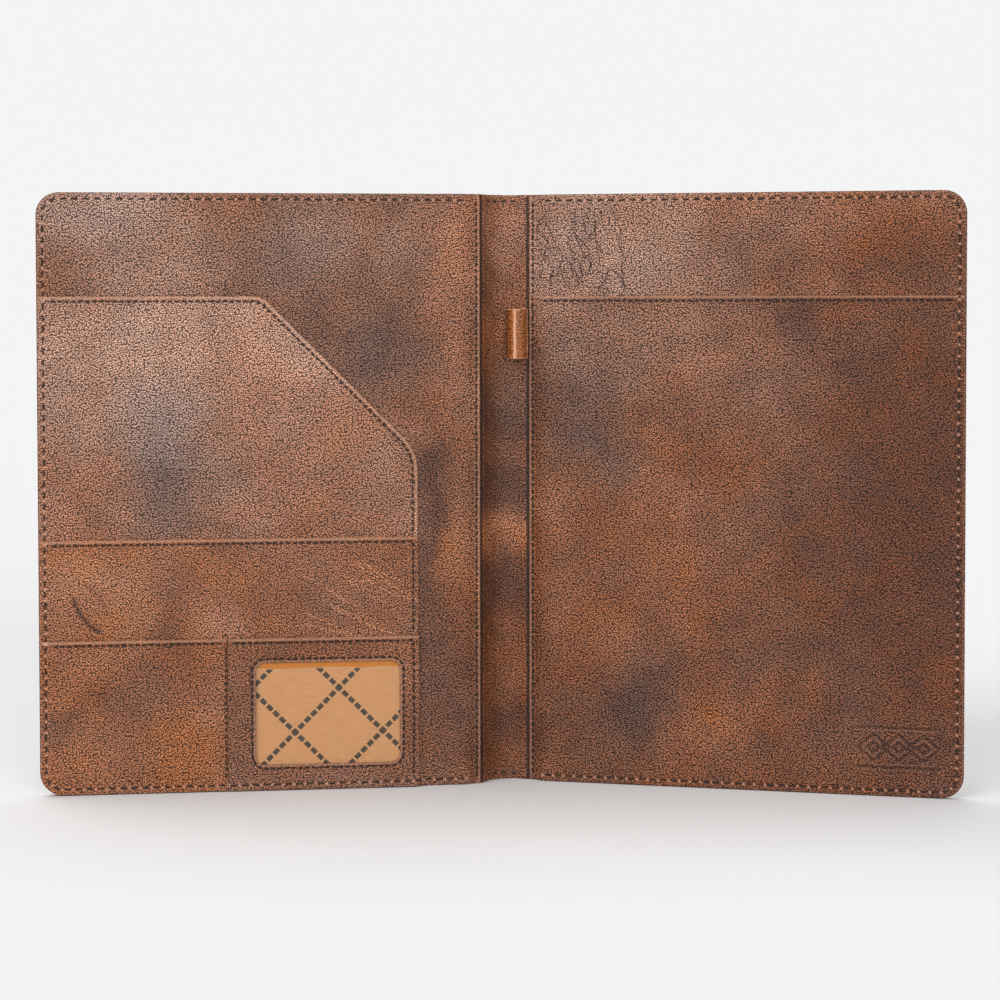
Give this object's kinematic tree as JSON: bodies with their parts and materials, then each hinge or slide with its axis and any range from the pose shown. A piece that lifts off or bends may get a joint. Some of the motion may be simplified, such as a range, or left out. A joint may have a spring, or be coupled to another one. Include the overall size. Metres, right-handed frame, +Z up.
{
  "type": "leather notebook cover",
  "caption": "Open leather padfolio with a soft spine, pen loop, pad pocket, slanted document pocket and card pockets with a clear window.",
  "frame": {"origin": "middle of the bounding box of the partly open cover, at the height of its bottom edges", "axes": "+X to the reader's right across both covers, +Y away from the reader, +Z up along the spine"},
  "size_m": [0.4864, 0.0716, 0.318],
  "materials": {
    "outer_leather": "waxed, lightly mottled",
    "lining_leather": "waxed, mottled, fine pebble grain",
    "loop_leather": "polished",
    "board": "plain",
    "cloth": "plain weave",
    "clear_film": "clear, glossy",
    "thread": "waxed thread"
  },
  "bodies": {
    "spine": {"spine_leather": "outer_leather", "spine_lining": "lining_leather", "spine_stitches": "thread", "pen_loop": "loop_leather"},
    "front_cover": {"front_leather": "outer_leather", "front_board": "board", "front_lining": "lining_leather", "document_pocket": "lining_leather", "middle_pocket": "lining_leather", "card_pocket": "lining_leather", "id_pocket": "lining_leather", "id_window": "clear_film", "id_cloth": "cloth", "front_edge_stitches": "thread", "front_seam_stitches": "thread", "document_stitches": "thread", "middle_stitches": "thread", "card_stitches": "thread", "window_stitches": "thread", "divider_stitches": "thread"},
    "back_cover": {"back_leather": "outer_leather", "back_board": "board", "back_lining": "lining_leather", "pad_pocket": "lining_leather", "back_edge_stitches": "thread", "back_seam_stitches": "thread", "pad_stitches": "thread"}
  },
  "joints": [
    {"name": "front_cover_hinge", "type": "hinge", "parent": "spine", "child": "front_cover", "pos_m": [-0.00974, 0.019, 0.159], "axis": [0, 0, 1], "range_deg": [-21.5, 108.5]},
    {"name": "back_cover_hinge", "type": "hinge", "parent": "spine", "child": "back_cover", "pos_m": [0.01566, 0.03194, 0.159], "axis": [0, 0, -1], "range_deg": [-82.5, 47.5]}
  ]
}
